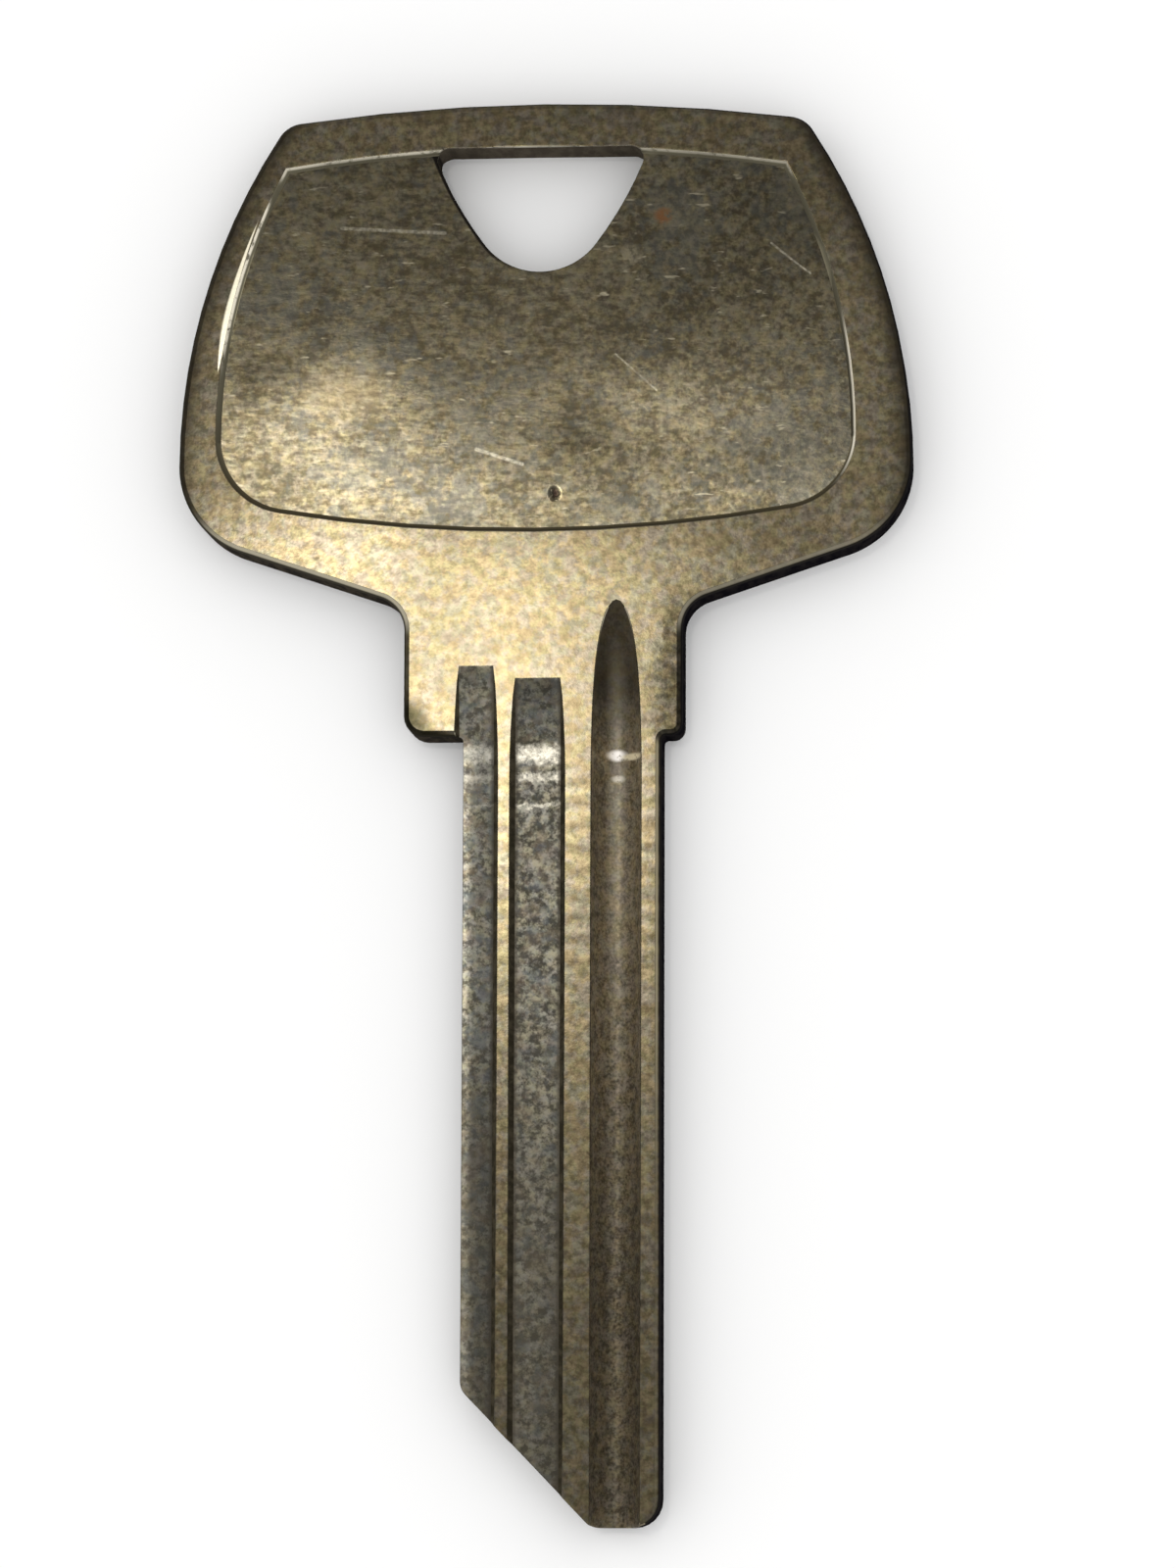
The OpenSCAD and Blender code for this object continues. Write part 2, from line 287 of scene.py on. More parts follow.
class Finish:
    """A material in the making."""

    def __init__(self, name, metallic=1.0, specular=0.5):
        self.material = bpy.data.materials.new(name)
        self.material.use_nodes = True
        self.tree = self.material.node_tree
        self.shader = self.tree.nodes["Principled BSDF"]
        self.shader.inputs["Metallic"].default_value = metallic
        self.shader.inputs["Specular IOR Level"].default_value = specular
        start = Sock(self.tree, self.tree.nodes.new("ShaderNodeTexCoord").outputs["Object"])
        self.place = start.scaled(1 / MM)
        self.flat = self.place.vector("MULTIPLY", (1, 1, 0))
        self.x, self.y, self.z = (
            self.place.node("ShaderNodeSeparateXYZ", output=i, Vector=self.place)
            for i in range(3))
        self.front = self.z.between(FRONT_LOW, FRONT_HIGH)

    def noise(self, scale, detail=3.0, spread=0.55, stretch=(1, 1, 1), offset=0.0):
        """Noise from 0 to 1, with about scale waves in each millimetre."""
        moved = self.place.vector("MULTIPLY_ADD", stretch, (offset, offset, offset))
        return moved.node("ShaderNodeTexNoise", Vector=moved, Scale=scale, Detail=detail,
                          Roughness=spread)

    def spot(self, centre, size, soft=0.5):
        """A round or oval spot on the front, with size as its half width and half height."""
        inverse = (1 / size[0], 1 / size[1], 0)
        away = self.flat.vector("SUBTRACT", (*centre, 0)).vector("MULTIPLY", inverse)
        return away.vector("LENGTH", output=1).below(1 - soft, 1 + soft) * self.front

    def scratch(self, start, end, width):
        """A straight scratch on the front that fades at its edges."""
        start, end = Vector((*start, 0)), Vector((*end, 0))
        way = (end - start).normalized()
        along = self.flat.vector("SUBTRACT", start).vector("DOT_PRODUCT", way, output=1)
        along = along.math("MAXIMUM", 0).math("MINIMUM", (end - start).length)
        foot = along.node("ShaderNodeVectorMath", {"operation": "SCALE"}, i0=way, Scale=along)
        aside = self.flat.vector("DISTANCE", foot.vector("ADD", start), output=1)
        return aside.below(width * 0.3, width) * self.front

    def beyond(self, arc):
        """How far a place lies outside an arc's circle, in plan."""
        return self.flat.vector("DISTANCE", (*arc.middle, 0), output=1) - arc.radius

    def crescent(self):
        """The painted glint on the upper left of the panel's edge, a crescent widest at its
        middle.
        """
        off_middle = (self.y - CRESCENT_MIDDLE) * (1 / CRESCENT_HALF)
        swell = (1 - off_middle ** 2).math("MAXIMUM", 0.01)
        swell = swell * (1 - self.y.between(17, 21.5) * 0.55)
        foot = abs(self.beyond(PANEL_LEFT) - 0.1)  # it runs just outside the edge
        band = foot.below(swell * 0.1, swell * 0.24) * swell.between(0.01, 0.2)
        return band * self.x.below(-12, -9) * self.front

    def brighter(self, colour, patches):
        """Paints light and shade in patches: lighter, or darker where their gain is below 0."""
        gain = 1.0
        for centre, size, more in patches:
            gain = self.spot(centre, size, 0.8) * more + gain
        return colour.scaled(gain)

    def tarnish(self, colour, share, offset=0.0):
        """Lets a colour drift from straw to blue-grey, and a little from pink to green."""
        straw = self.noise(1.9, 4, 0.62, offset=offset).between(0.4, 0.6) * share
        pink = self.noise(2.4, 3, 0.6, offset=offset + 10).between(0.4, 0.6) * share
        colour = colour.vector("MULTIPLY", straw.tint(BLUER, STRAWIER))
        return colour.vector("MULTIPLY", pink.tint(GREENER, PINKER))

    def done(self, colour, roughness, height, metallic=None):
        """Links the recipe to the shader, with height as a relief in millimetres."""
        relief = height.node("ShaderNodeBump", Strength=1.0, Distance=MM, Height=height)
        links = [("Base Color", colour), ("Roughness", roughness), ("Normal", relief)]
        if metallic is not None:
            links.append(("Metallic", metallic))
        for name, value in links:
            self.tree.links.new(value.socket, self.shader.inputs[name])
        return self.material


print("finishes can be mixed")

# %% [markdown]
# ## The grain of the struck face
#
# The rim, the neck and the lands between the grooves were all one rolled strip. Nickel silver
# goes olive brown with age, in specks of a third of a millimetre, some warmer and some greener,
# over older and darker stains. Hands keep the neck even. Light and shade are painted on in a
# few patches, paler or darker, and the blade is painted darker towards its tip.

# %% Mix the grain of the struck face
FACE_TONES = (0.039, 0.0335, 0.0225), (0.091, 0.0795, 0.0555)  # the dark and the pale specks
CALM_NECK, OLD_STAIN = (0.066, 0.057, 0.039), (0.042, 0.034, 0.021)
NECK_SPOT = (-1, 4.5), (6, 4.5)  # middle, then half width and half height
# Painted light and shade: patches of the grain made lighter, or darker where the gain is below
# 0.
FACE_PAINTED_LIGHT = (  # each with its middle, half width and half height, and gain
    ((-11, 8.4), (4, 2), 0.6),  # the rim at the lower left of the bow
    ((1.5, 6.6), (6, 2), 0.25),  # the top of the neck
    ((12.6, 14), (1.6, 7), 0.35),  # the rim on the right
    ((0.7, -6.5), (1.0, 6), -0.25),  # the land beside the deep groove
    ((-5.4, 3.6), (2.0, 4.2), -0.14),  # the neck over the shoulder
)


def struck_grain(f, specks, grain):
    """Gives the specks' tone from 0 to 1, and their colour with stains and painted light and
    shade.
    """
    tone = (specks * 0.8 + grain * 0.2).between(0.34, 0.66)
    colour = tone.tint(*FACE_TONES)
    colour = (f.spot(*NECK_SPOT, 0.6) * 0.25).tint(colour, CALM_NECK)
    old = f.noise(0.8, 3, 0.6, offset=20).between(0.5, 0.62)
    colour = (old * 0.35).tint(colour, OLD_STAIN)
    colour = colour.scaled(1.19 - f.y.between(-24, -8) * 0.19)  # painted shade: the blade darkens towards its tip
    return tone, f.tarnish(f.brighter(colour, FACE_PAINTED_LIGHT), 1.2, 30)


print("face patches:", len(FACE_PAINTED_LIGHT))

# %% [markdown]
# ## Chatter, pits and painted shade on the struck face
#
# The milling cutters shook the strip, which left faint bands about a millimetre apart on the
# lands below the neck. The bow's sides, the heel on the right of the neck and the corner of the
# shoulder are painted darker, as shade along their rolled edges.

# %% Mark the struck face
CHATTER_START, CHATTER_TURN = -1.91, 6.44  # millimetres, and radians in each millimetre
FACE_PITS, PIT_SIZE = ((-10.52, 8.77), (-10.56, 7.71)), (0.13, 0.1)
SHOULDER_SPOTS = ((-6.75, 0.15), (1.05, 1.5)), ((-5.9, -0.15), (1.1, 0.5))
PIT_BROWN = (0.022, 0.017, 0.011)
# Painted shade for the bow's sides and for the shoulder's corner.
BOW_SIDE_SHADE, CORNER_SHADE = (0.016, 0.013, 0.009), (0.007, 0.0065, 0.0035)


def struck_marks(f, colour):
    """Lays the chatter bands across the lands, and the pits."""
    drift = (f.noise(0.8, 3, 0.6, offset=90) - 0.5) * 4
    wave = ((f.y - CHATTER_START) * CHATTER_TURN + drift).math("COSINE")
    wave = wave * f.y.between(-15, -7) * f.y.below(-1.7, -1.2)  # it dies out down the blade
    colour = colour.scaled(1 - wave * 0.2)
    pits = f.noise(1.3, 1, offset=43).between(0.73, 0.8)
    for centre in FACE_PITS:
        pits = pits.either(f.spot(centre, PIT_SIZE))
    return (pits * 0.6).tint(colour, PIT_BROWN)


def struck_shade(f, colour, specks):
    """Paints shade on the bow's sides, the heel and the shoulder's corner."""
    for side in BOW_SIDES:
        # Painted shade along the outer sides of the bow.
        outer = (f.beyond(side) + f.noise(0.7, 3, offset=60) * 0.6 - 0.3).between(-1.1, 0)
        colour = (outer * f.y.between(5, 9) * 0.85).tint(colour, BOW_SIDE_SHADE)
    patchy = f.noise(2.2, 4, 0.7, offset=80)
    low = f.y.below(2.4, 4.2)  # the painted shade is wider and darker on the lower heel
    heel = (f.x + (patchy - 0.5) * 1.2).between(4.1 - low, 4.5 + low * 0.1)
    heel = heel * (0.8 + low * 0.12 - (specks - 0.5) * 1.2)
    heel = heel * f.y.between(-0.4, 0.2) * f.y.below(4.5, 7.5) * f.front
    colour = colour.scaled(1 - heel * 0.7)
    # Painted shade at the shoulder's corner.
    left, right = (f.spot(*place, 0.4) for place in SHOULDER_SPOTS)
    corner = left.either(right)
    return (corner * (patchy * 0.6 + 0.6)).tint(colour, CORNER_SHADE)


print("pits placed by hand:", len(FACE_PITS))

# %% [markdown]
# ## The edges of the struck face
#
# The lip along the blade's spine and under the bow carries a painted highlight. Just outside
# it the punch rolled the edge over, and that curve is painted dark as shade, darkest on the
# right. It isn't metal, so the curve mirrors nothing. The relief of the specks is only about
# a thousandth of a millimetre, but it makes the rest of the metal sparkle where the lamp
# glances off.

# %% Mix the struck face
# Painted highlights on the lips and on the rim's crescent, and painted shade on the rolled
# edge.
SPINE_HIGHLIGHT, SLOPE_HIGHLIGHT, RIM_GLINT = (0.36, 0.31, 0.2), (0.5, 0.455, 0.34), (0.6, 0.56, 0.44)
ROLL_SHADE = (0.018, 0.016, 0.011), (0.005, 0.0045, 0.005)  # on the left and on the right


def struck_edges(f, colour):
    """Paints a highlight on the lips and shade on the rolled edge, and gives that edge's mask.
    """
    half = STRIP / 2
    drop = half - abs(f.z - half)  # how far a place lies inside the nearer face
    lip = drop.between(0.0, 0.01) * f.front
    # A painted highlight along the spine's lip, strongest near the neck.
    spine = lip * f.x.between(3.9, 4.0) * f.y.below(-0.5, 0)  # only along the blade
    spine = spine * drop.below(0.02, 0.06) * (f.y.between(-22, -8) * 0.6 + 0.1)
    colour = spine.tint(colour, SPINE_HIGHLIGHT)
    # A painted highlight along the lip under the bow, strongest on the left.
    slope = lip * f.y.between(4.2, 5.2) * f.y.below(8, 10)  # from the neck out under the bow
    slope = slope * (1 - f.x.between(-2, 8) * 0.6)
    colour = (slope * 0.75).tint(colour, SLOPE_HIGHLIGHT)
    # Painted shade on the rolled edge, which is also not metal.
    rolled = drop.between(0.04, 0.1) * 0.95
    return rolled.tint(colour, f.x.between(1, 5).tint(*ROLL_SHADE)), rolled


def struck_face():
    f = Finish("struck_face", specular=0.0)
    specks, grain = f.noise(2.6, 4, 0.65), f.noise(9, 2, 0.6, offset=7)
    tone, colour = struck_grain(f, specks, grain)
    colour = struck_shade(f, struck_marks(f, colour), specks)
    colour, rolled = struck_edges(f, colour)
    # A painted glint on the rim, along the panel's upper left edge.
    colour = (f.crescent() * 0.9).tint(colour, RIM_GLINT)
    relief = specks * 0.0012 + grain * 0.0004
    return f.done(colour, 0.15 + tone * 0.01, relief, metallic=1 - rolled)


face = struck_face()
print("mixed", face.name)

# %% [markdown]
# ## The grain of the coined panel
#
# The panel is finely streaked across on its left and mottled on its right, with blue-grey
# patches in the brown. Light and shade are painted on in a few patches, and a warm glare is
# painted at the lower left.

# %% Mix the grain of the panel
PANEL_TONES = (0.0275, 0.0232, 0.0155), (0.096, 0.0825, 0.0545)
# A warm glare painted at the lower left, and patches of painted light and shade.
BLUE_GREY, PAINTED_GLARE = (0.038, 0.041, 0.04), (0.17, 0.13, 0.075)
GLARE_SPOT = (-9.4, 14.9), (1.5, 0.9)
PANEL_PAINTED_LIGHT = (  # each with its middle, half width and half height, and gain
    ((-9.4, 14.8), (2.4, 1.5), 1.0), ((-12.2, 13.4), (2.2, 1.2), 0.8),
    ((-9.0, 11.4), (4.4, 2.4), 0.75), ((-12.6, 15.9), (1.6, 0.8), -0.25),
    ((4.9, 14.3), (4.6, 1.4), 0.5), ((-5.0, 10.0), (5.5, 1.3), 0.35),
    ((8.0, 9.6), (3.5, 1.2), 0.3), ((0.65, 13.2), (1.8, 1.1), -0.35),
    ((9.5, 22.5), (2.5, 2.5), -0.2), ((5.5, 19.0), (4.0, 1.8), -0.15))


def panel_grain(f, streaks, mottle):
    """Gives the grain's tone from 0 to 1, and its colour with painted light, shade and glare.
    """
    cloud = f.noise(0.5, 4, 0.6, offset=51)
    plain = f.x.between(-1, 6) * 0.7  # how far the streaks have given way to the mottle
    tone = streaks * (0.33 - plain * 0.27) + mottle * (0.42 + plain * 0.27) + cloud * 0.25
    tone = tone.between(0.41, 0.64)
    colour = f.tarnish(tone.tint(*PANEL_TONES), 0.7)
    blue = f.noise(0.22, 3, offset=5) * 0.5 + f.noise(1.9, 4, offset=11) * 0.5
    colour = (blue.between(0.49, 0.57) * 0.34).tint(colour, BLUE_GREY)
    colour = f.brighter(colour, PANEL_PAINTED_LIGHT)
    return tone, (f.spot(*GLARE_SPOT, 0.8) * 0.3).tint(colour, PAINTED_GLARE)


print("panel patches:", len(PANEL_PAINTED_LIGHT))

# %% [markdown]
# ## The marks on the coined panel
#
# Four scratches, a rust spot in a pale ring, another pale stain and a scatter of small flecks
# lie on the panel. One scratch is bent, so it is made of two straights. Noise breaks each mark
# up, since no real one is even. There is one pit low down, and shade is painted along the left
# side and the round bottom of the key-ring hole.

# %% Mark the panel
PANEL_STAINS = (  # each with its middle, half width and half height, share and colour
    ((4.33, 22.5), (0.5, 0.46), 0.3, (0.13, 0.105, 0.06)),  # the ring of the rust spot
    ((4.28, 22.5), (0.34, 0.32), 0.85, (0.085, 0.038, 0.016)),  # the rust
    ((2.86, 20.8), (0.46, 0.42), 0.45, (0.15, 0.132, 0.09)),  # the pale stain
)
SCRATCHES = (  # each with its start, end, width and share
    ((-9.6, 22.13), (-5.14, 21.86), 0.11, 0.25),
    ((8.93, 21.24), (9.77, 20.54), 0.07, 0.28),
    ((9.77, 20.54), (10.61, 19.89), 0.06, 0.36),
    ((2.24, 16.5), (4.01, 14.9), 0.06, 0.22),
    ((-3.73, 12.42), (-1.75, 11.75), 0.11, 0.29),
)
FLECK, SCRATCHED = (0.2, 0.18, 0.13), (0.45, 0.42, 0.34)
PANEL_PIT = (-0.35, 10.47), (0.2, 0.25)
# The key-ring hole's left side and round bottom are painted dark as shade.
PIT_BLACK, HOLE_SHADE = (0.012, 0.008, 0.006), (0.007, 0.006, 0.005)


def panel_marks(f, colour):
    """Lays on the stains, the flecks and the scratches."""
    spotty = f.noise(3.5, 3, 0.6, offset=67).between(0.36, 0.56)
    for centre, size, share, stain in PANEL_STAINS:
        colour = (f.spot(centre, size) * spotty * share).tint(colour, stain)
    flecks = f.noise(2.4, 2, 0.5, (0.5, 1.6, 1), offset=71).between(0.66, 0.76)
    colour = (flecks * 0.5).tint(colour, FLECK)
    broken = f.noise(5, 3, 0.7, offset=37).between(0.36, 0.66)
    for start, end, width, share in SCRATCHES:
        mark = f.scratch(start, end, width) * (broken * 0.7 + 0.3) * share
        colour = mark.tint(colour, SCRATCHED)
    return colour


def panel_pit_and_shade(f, colour):
    """Lays on the pit and the painted shade along the key-ring hole, and gives the pit's mask.
    """
    ragged = f.noise(5, 2, 0.6, offset=97).between(0.3, 0.5)
    pit = f.spot(*PANEL_PIT, 0.6) * ragged
    colour = pit.tint(colour, PIT_BLACK)
    # Painted shade along the left side and round bottom of the key-ring hole.
    hole_shade = f.beyond(HOLE_LEFT).below(0.09, 0.16) * f.y.between(21.3, 21.4)
    hole_shade = hole_shade.either(f.beyond(HOLE_LOW).below(0.09, 0.16))
    hole_shade = hole_shade * f.x.below(-3.6, -1.4) * f.front
    return hole_shade.tint(colour, HOLE_SHADE), pit


print("stains:", len(PANEL_STAINS), "straights of scratches:", len(SCRATCHES))

# %% [markdown]
# ## The coined panel
#
# The die pressed the panel a quarter of a millimetre down. Its floor came out a little hollow
# and leaning, so it catches the lamp at the lower left. The lean goes into the relief only, so
# the modelled floor keeps its even depth. At the upper left a white glint is painted on the
# hollow foot of the step.

# %% Mix the coined panel
FOOT_GLINT = (0.95, 0.93, 0.86)


def coined_panel():
    f = Finish("coined_panel", metallic=0.65, specular=0.0)
    streaks, mottle = f.noise(3.6, 4, 0.65, (0.45, 1.2, 1)), f.noise(3.2, 5, 0.72, offset=9)
    tone, colour = panel_grain(f, streaks, mottle)
    colour, pit = panel_pit_and_shade(f, panel_marks(f, colour))
    # A painted white glint on the hollow foot of the step.
    colour = (f.crescent() * 0.9).tint(colour, FOOT_GLINT)
    across, along = f.x - PANEL_MIDDLE[0], f.y - PANEL_MIDDLE[1]
    lean = across * (across * 0.00114 - 0.0127) + along * (0.0174 - along * 0.0003)
    relief = lean + streaks * 0.0014 + mottle * 0.0014 - pit * 0.01
    return f.done(colour, 0.145 - tone * 0.03, relief)


panel = coined_panel()
print("mixed", panel.name)

# %% [markdown]
# ## The step round the panel
#
# The step stands between the rim and the floor. Highlights are painted on its lip in a bare
# metal colour at the top, the upper left and the right, and it is painted darker towards the
# bottom, as shade.

# %% Mix the step
# Painted shade, darker at the bottom, and a painted highlight in a bare metal colour.
STEP_SHADE = (0.052, 0.043, 0.025), (0.13, 0.118, 0.08)  # at the bottom and further up
STEP_HIGHLIGHT = (0.8, 0.74, 0.6)


def coined_step():
    f = Finish("coined_step")
    # Painted highlights on the lip at the top, the upper left and the right.
    top = f.y.between(24.0, 24.5) * (0.65 - f.x.between(-3, 3) * 0.3)  # less on the right
    left = f.x.below(-12.9, -12.6) * f.y.between(15.5, 18)
    right = f.x.between(10.2, 10.8) * f.y.between(10.5, 12.5) * f.y.below(16.4, 18.6)
    lip = abs(f.z - STRIP / 2).between(STRIP / 2 - 0.15, STRIP / 2 - 0.07)
    highlight = top.either(left) * f.noise(2.5, 4, 0.7).between(0.32, 0.5)
    highlight = highlight.either(right * f.noise(1.5, 2).between(0.25, 0.4))
    colour = (highlight * lip).tint(f.y.between(10, 16).tint(*STEP_SHADE), STEP_HIGHLIGHT)
    return f.done(colour, 0.45 - highlight * 0.15, f.noise(5) * 0.002)


step = coined_step()
print("mixed", step.name)

# %% [markdown]
# ## The flat milled grooves
#
# Milling leaves a duller floor than rolling. It is blotched grey, blue-grey and pinkish brown,
# shade is painted along the foot of each side, and the open groove is rubbed pale along its
# outer edge. Where the cutters lift off the floor they chatter, which leaves ragged bands whose
# glints are painted bright. The floor is painted darker where it climbs and towards the tip,
# and lighter in the open groove.

# %% Mix the milled floors
FLOOR_TONES = (0.04, 0.0365, 0.029), (0.15, 0.14, 0.112)
FLOOR_BROWN, FLOOR_BLUE = (0.088, 0.071, 0.054), (0.062, 0.069, 0.071)
FLOOR_TIP = (0.058, 0.05, 0.034)
BAND_GLINT, FOOT_SHADE = (0.66, 0.62, 0.52), (0.035, 0.029, 0.02)
RUN_OUT_BANDS = ((-0.75, 0.38, 1.0), (-1.75, 0.2, 0.55), (-2.95, 0.09, 0.45))  # y, half, share


def floor_colour(f, tone, open_groove):
    """The blotches of the floor, duller at the tip, with painted light and shade over them."""
    colour = tone.tint(*FLOOR_TONES)
    brown = f.noise(1.3, 3, offset=17).between(0.5, 0.6)
    blue = f.noise(1.1, 3, offset=23).between(0.52, 0.62)
    colour = (blue * 0.5).tint((brown * 0.5).tint(colour, FLOOR_BROWN), FLOOR_BLUE)
    tip = f.y.below(-22, -8)
    colour = (tip * 0.4).tint(f.tarnish(colour, 0.7, 50), FLOOR_TIP)
    high = (f.y + (1 - open_groove) * 0.5).between(1.2, 2.8)  # painted shade where the floor climbs
    edge = f.x.below(-4.15, -3.75) * f.y.below(-0.5, 0.5)  # the rubbed bitting edge
    # Painted light in the open groove near the neck, painted shade where the floor climbs and
    # towards the tip; the bitting edge is rubbed pale.
    gain = 1 + open_groove * f.y.between(-18, -8) * 0.5 + edge * 0.9 - high * 0.35 - tip * 0.22
    return colour.scaled(gain)


def milled_floor():
    f = Finish("milled_floor", metallic=0.85)
    blotch, grain = f.noise(2.8, 5, 0.68), f.noise(9, 2, 0.6, offset=13)
    tone = (blotch * 0.85 + grain * 0.15).between(0.39, 0.61)
    open_groove = f.x.below(-2.9, -2.6)  # 1 in the groove that is open to the bitting edge
    colour = floor_colour(f, tone, open_groove)
    ragged = f.y + (f.noise(3, 4, 0.7, offset=29) - 0.5) * 0.8
    broken = f.noise(4.5, 4, 0.75, offset=41).between(0.34, 0.62) * 0.75 + 0.25
    # The chatter bands carry painted glints.
    for y, half, share in RUN_OUT_BANDS:
        band = abs(ragged - y).below(half * 0.4, half * 1.4) * share
        colour = (band * broken * (1 - open_groove * 0.35)).tint(colour, BAND_GLINT)
    # Painted shade along the foot of each side.
    for foot in GROOVE_FEET:
        foot_shade = abs(f.x - foot).below(0.02, 0.2) * f.front
        colour = (foot_shade * 0.75).tint(colour, FOOT_SHADE)
    return f.done(colour, 0.4 - tone * 0.1, blotch * 0.005 + grain * 0.0015)


floor_metal = milled_floor()
print("mixed", floor_metal.name)

# %% [markdown]
# ## The deep groove
#
# The round-nosed cutter went halfway through the strip. Its hollow is brown and dull, so the
# lamp's light runs down it as one soft streak, and that streak is painted into its colour too,
# with painted shade at its start and towards the tip. Near its start, where the cutter lifts
# off, glints are painted on a few small cross ridges.

# %% Mix the deep groove
DEEP_TONES = (0.085, 0.07, 0.048), (0.29, 0.244, 0.174)
# Painted shade at the start, and a painted streak of light down the middle.
DEEP_START_SHADE, DEEP_PAINTED_STREAK = (0.042, 0.034, 0.023), (0.36, 0.32, 0.24)
# Painted glints on the cross ridges near the start.
PAINTED_GLINTS = (  # each with its middle, half width and half height, colour and share
    ((2.3, -0.75), (0.4, 0.22), (1.0, 0.95, 0.89), 1.0),
    ((2.95, -0.83), (0.42, 0.14), (0.95, 0.86, 0.62), 0.9),
    ((2.35, -1.75), (0.28, 0.14), (0.9, 0.84, 0.72), 0.5),
)


def deep_hollow():
    f = Finish("deep_hollow", metallic=0.75, specular=0.0)
    drawn, grain = f.noise(2.4, 5, 0.68, (1.2, 0.9, 1)), f.noise(8, 2, 0.6, offset=19)
    tone = (drawn * 0.6 + grain * 0.4).between(0.36, 0.64)
    start = f.y.between(-0.6, 2.4)  # painted shade, and rougher, where the cutter climbs
    colour = (start * 0.9).tint(tone.tint(*DEEP_TONES), DEEP_START_SHADE)
    # A painted streak of light along the lowest line.
    middle = abs(f.x - DEEP_AXIS).below(0.05, 0.6)
    streak = middle * f.y.between(-16, -3) * f.y.below(1.5, 5)
    colour = (streak * 0.35).tint(colour, DEEP_PAINTED_STREAK)
    # Painted light and shade: lighter right of the lowest line and on the left near the tip,
    # darker in the middle there and towards the tip.
    sides = (f.x.below(1.5, 2.0) * 0.25 - middle * 0.16) * f.y.below(-14, -5)
    gain = (1 + f.x.between(2.45, 2.9) * 0.4 + sides) * (0.6 + f.y.between(-26, -6) * 0.4)
    colour = f.tarnish(colour.scaled(gain), 0.8, 110)
    ragged = f.noise(5, 3, 0.7, offset=61).between(0.3, 0.46)
    # Painted glints.
    for centre, size, shine, share in PAINTED_GLINTS:
        colour = (f.spot(centre, size, 0.45) * ragged * share).tint(colour, shine)
    roughness = 0.5 - tone * 0.08 + start * 0.35
    return f.done(colour, roughness, drawn * 0.003 + grain * 0.001)


hollow_metal = deep_hollow()
print("mixed", hollow_metal.name)

# %% [markdown]
# ## Sides and walls
#
# The sides of the grooves and the sheared edge of the strip are rough, and are painted near
# black as shade. They hardly shine, so they are not metal to the shader. The outer wall is
# painted less dark on the left of the key, and the key ring has rubbed the straight top of its
# hole.

# %% Mix the dark sides and the sheared wall
# Painted shade: the sides and walls are near black, the outer wall a little less dark on the
# left.
SIDE_SHADE_TONES = (0.026, 0.022, 0.014), (0.05, 0.042, 0.027)
WALL_SHADE_TONES = (0.005, 0.0045, 0.006), (0.012, 0.0105, 0.011)
LEFT_WALL_LIGHTER_TONES = (0.019, 0.0165, 0.0145), (0.042, 0.0355, 0.0265)
RUBBED_TONES = (0.062, 0.052, 0.039), (0.0868, 0.0728, 0.0546)


def lighter_left_and_rubbed(f, colour, tone):
    """Paints the left of the outer wall less dark, and the rubbed top of the key-ring hole
    paler.
    """
    colour = f.x.below(2.0, 4.0).tint(colour, tone.tint(*LEFT_WALL_LIGHTER_TONES))
    hole_top = f.y.between(25.2, 25.3) * f.y.below(26, 26.1)
    hole_top = hole_top * abs(f.x - PANEL_MIDDLE[0]).below(4.8, 5)
    return hole_top.tint(colour, tone.tint(*RUBBED_TONES))


def shaded_wall(name, tones, lightener=None):
    """A rough wall painted dark as shade. The last value may be a step that lightens parts of
    it.
    """
    f = Finish(name, metallic=0.0, specular=0.0)
    drawn = f.noise(2.4, 4, 0.6, (1, 1, 0.3))
    tone = drawn.between(0.4, 0.62)
    colour = tone.tint(*tones)
    if lightener:
        colour = lightener(f, colour, tone)
    return f.done(colour, tone * 0.1 + 0.6, drawn * 0.01)


flank = shaded_wall("groove_side", SIDE_SHADE_TONES)
wall = shaded_wall("sheared_wall", WALL_SHADE_TONES, lighter_left_and_rubbed)
print("mixed", flank.name, "and", wall.name)

# %% [markdown]
# ## Which tool touched which face
#
# The finishes go on by place and slope. An upright face was sheared by the punch. Inside the
# rim, a slope that looks inward is the step and the floor below it is the panel. In the blade,
# what lies below the struck face is a groove, and a steep face there is a groove's side.

# %% Put the finishes on
UPRIGHT = 0.12  # the normal of an upright face rises less than this
STEEP = 0.6  # that of a groove's side less than this
LYING = 0.64  # and that of the panel's floor more than this
PANEL_SLACK = 0.04  # how far a face of the panel's floor may lie from its level
ROLL_SLACK = 0.02  # how far the first face of the wall may reach into the rolled edge
FACE_SLACK = 0.01  # and how far a face may lie below the struck face and still be part of it
BLADE_SLACK = 0.4  # how far left of the blade the open groove is looked for
TOOLS = {"face": face, "panel": panel, "step": step, "floor": floor_metal,
         "hollow": hollow_metal, "side": flank, "wall": wall}


def tool_of(x, y, z, normal):
    """Names the tool that made a face, from its middle in millimetres and its normal."""
    rise = abs(normal.z)
    level = max(z, STRIP - z)  # the back's levels are counted from the other side
    if rise < UPRIGHT and level < STRIP - ROLL + ROLL_SLACK:
        return "wall"
    if y > PANEL_LOW:
        inward = normal.x * (x - PANEL_MIDDLE[0]) + normal.y * (y - PANEL_MIDDLE[1]) < 0
        if abs(level - STRIP + PANEL_DEPTH) < PANEL_SLACK and rise > LYING:
            return "panel"
        return "step" if inward and level < STRIP - FACE_SLACK else "face"
    in_blade = y <= GROOVE_TOP and -BLADE_HALF - BLADE_SLACK < x < DEEP_SPAN[1]
    if not in_blade or level > STRIP - LIP / MM - FACE_SLACK / 2:
        return "face"
    if normal.z > 0 and x > DEEP_SPAN[0]:
        return "hollow"
    return "side" if rise < STEEP else "floor"


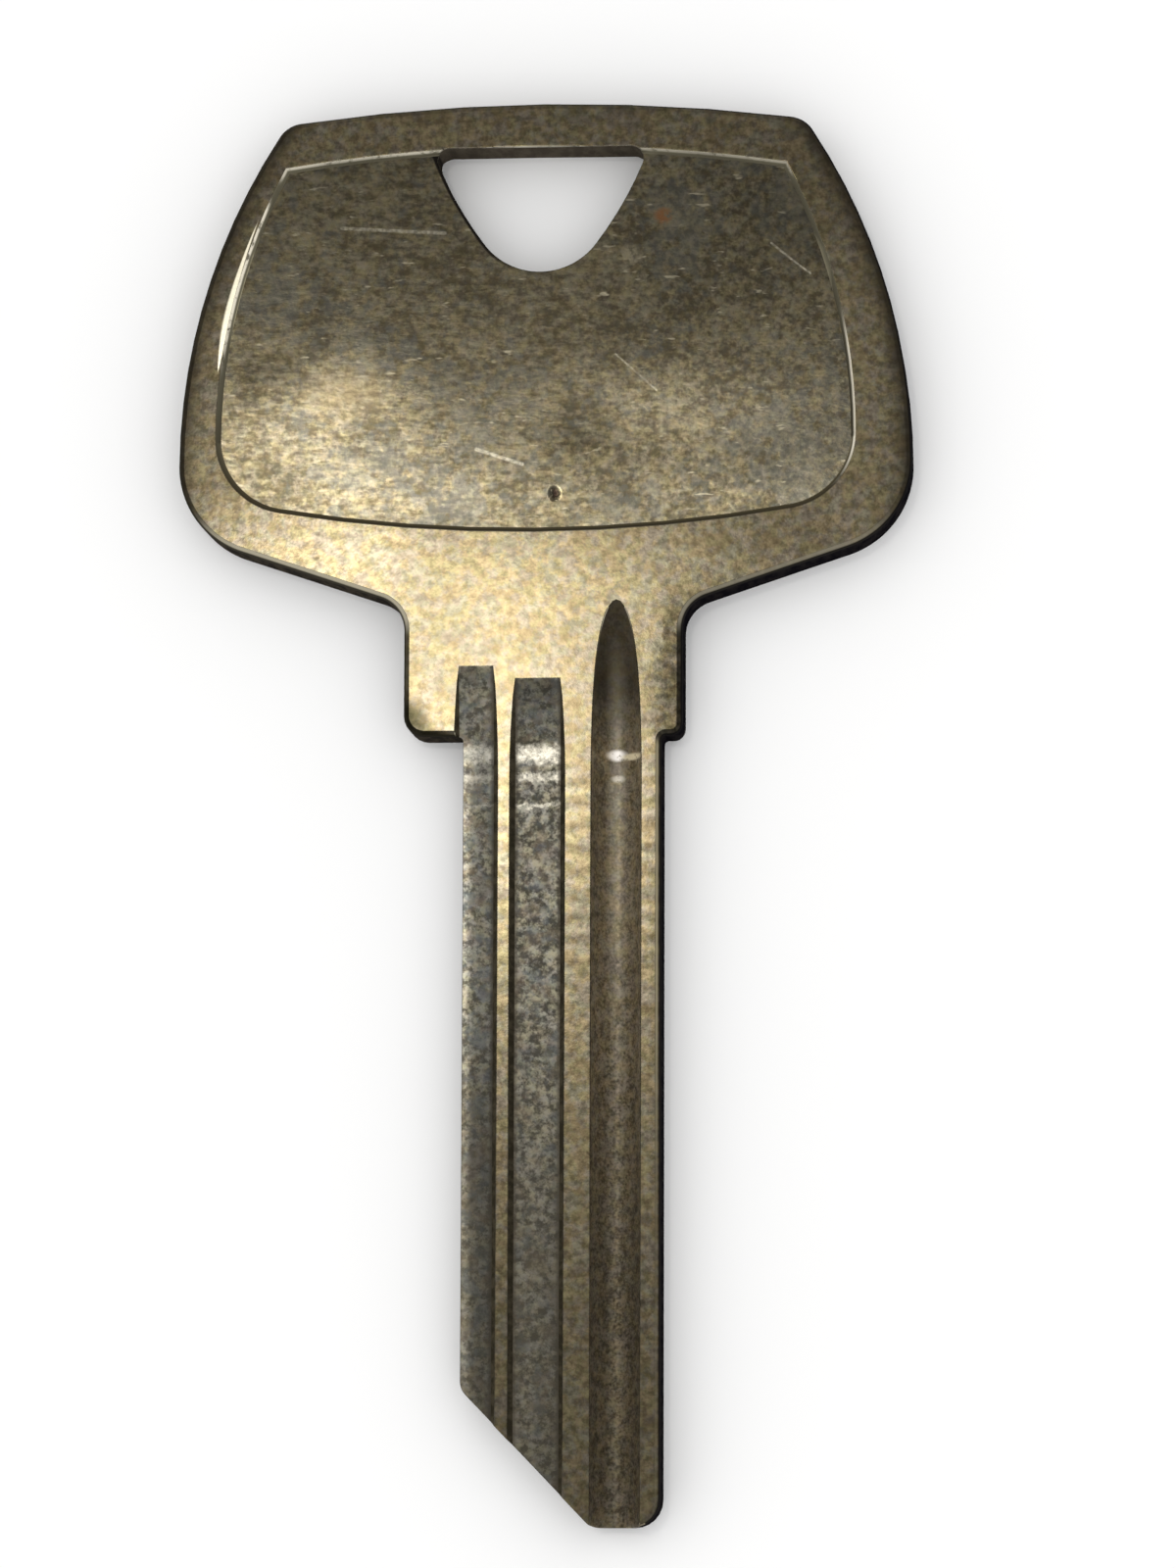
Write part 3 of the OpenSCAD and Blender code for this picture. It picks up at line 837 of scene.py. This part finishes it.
blank.data.materials.clear()
for material in TOOLS.values():
    blank.data.materials.append(material)
counts = dict.fromkeys(TOOLS, 0)
for polygon in blank.data.polygons:
    tool = tool_of(*(v / MM for v in polygon.center), polygon.normal)
    polygon.material_index = list(TOOLS).index(tool)
    counts[tool] += 1
print("faces by tool:", counts)

# %% [markdown]
# ## The paper under it
#
# A wide white sheet just under the blank takes its soft shadow. It is kept a hair below the
# back face, so that the two never lie in one plane.

# %% Lay the paper
PAPER_WIDTH, PAPER_GAP = 1.2, 0.02 * MM
PAPER_WHITE = (0.96, 0.96, 0.96, 1)

bpy.ops.mesh.primitive_plane_add(size=PAPER_WIDTH, location=(0, 0, -PAPER_GAP))
paper = bpy.context.object
paper.name = "paper"
sheet = bpy.data.materials.new("paper")
sheet.use_nodes = True
sheet_shader = sheet.node_tree.nodes["Principled BSDF"]
sheet_shader.inputs["Base Color"].default_value = PAPER_WHITE
sheet_shader.inputs["Roughness"].default_value = 0.9
paper.data.materials.append(sheet)
print("paper, m:", tuple(round(v, 2) for v in paper.dimensions))

# %% [markdown]
# ## The sky
#
# An even white sky at strength 1 makes a flat metal show the colour that is written for it.

# %% Light the sky
world = bpy.data.worlds.new("sky")
world.use_nodes = True
sky = world.node_tree.nodes["Background"]
sky.inputs["Color"].default_value = (1, 1, 1, 1)
sky.inputs["Strength"].default_value = 1.0
bpy.context.scene.world = world
print("sky:", world.name)

# %% [markdown]
# ## The lamp
#
# Flat metal is a mirror with a matt coat. So the lamp hangs where the neck would show it to the
# camera, high up on the left, which gives the cream glare that fades along the blade. Its size
# and the roughness of the struck face together set how far the glare reaches.

# %% Hang the lamp
LAMP_AIM = Vector((-5, 4, STRIP)) * MM
LAMP_AT = Vector((-70, 73, 593)) * MM
LAMP_WIDTH, LAMP_HEIGHT = 40 * MM, 49 * MM
LAMP_WATTS, LAMP_CREAM = 0.25, (1.0, 0.97, 0.9)

bpy.ops.object.light_add(type="AREA", location=LAMP_AT)
lamp = bpy.context.object
lamp.name = "lamp"
lamp.data.shape = "RECTANGLE"
lamp.data.size, lamp.data.size_y = LAMP_WIDTH, LAMP_HEIGHT
lamp.data.energy = LAMP_WATTS
lamp.data.color = LAMP_CREAM
lamp.rotation_mode = "QUATERNION"
lamp.rotation_quaternion = (LAMP_AIM - LAMP_AT).to_track_quat("-Z", "Y")
print("lamp, W:", lamp.data.energy)

# %% [markdown]
# ## The camera
#
# The camera hangs 0.27 m over the key and a little to its lower right, so it sees a thin dark
# strip of the wall along the spine. It leans by a few degrees, and the lens isn't shifted.

# %% Aim the camera
CAMERA = Vector((23.43, -33.44, 270.0)) * MM
LEAN_RIGHT, LEAN_DOWN, TURN = (math.radians(v) for v in (4.76, 6.68, 0.18))
LENS, SENSOR = 146.1, 36  # both in millimetres

back = Vector((math.tan(LEAN_RIGHT), -math.tan(LEAN_DOWN), 1)).normalized()
right = Vector((-math.sin(TURN), math.cos(TURN), 0)).cross(back).normalized()
up = back.cross(right)
facing = Matrix((right, up, back)).transposed().to_4x4()
bpy.ops.object.camera_add()
camera = bpy.context.object
camera.matrix_world = Matrix.Translation(CAMERA) @ facing
camera.data.lens = LENS
camera.data.sensor_width = SENSOR
bpy.context.scene.camera = camera
bpy.context.scene.view_settings.view_transform = "Standard"
print("camera at, mm:", [round(v / MM, 1) for v in camera.location])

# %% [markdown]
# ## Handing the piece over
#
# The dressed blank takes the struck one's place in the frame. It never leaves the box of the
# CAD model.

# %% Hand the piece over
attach(blank, "root")
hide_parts("key_blank")
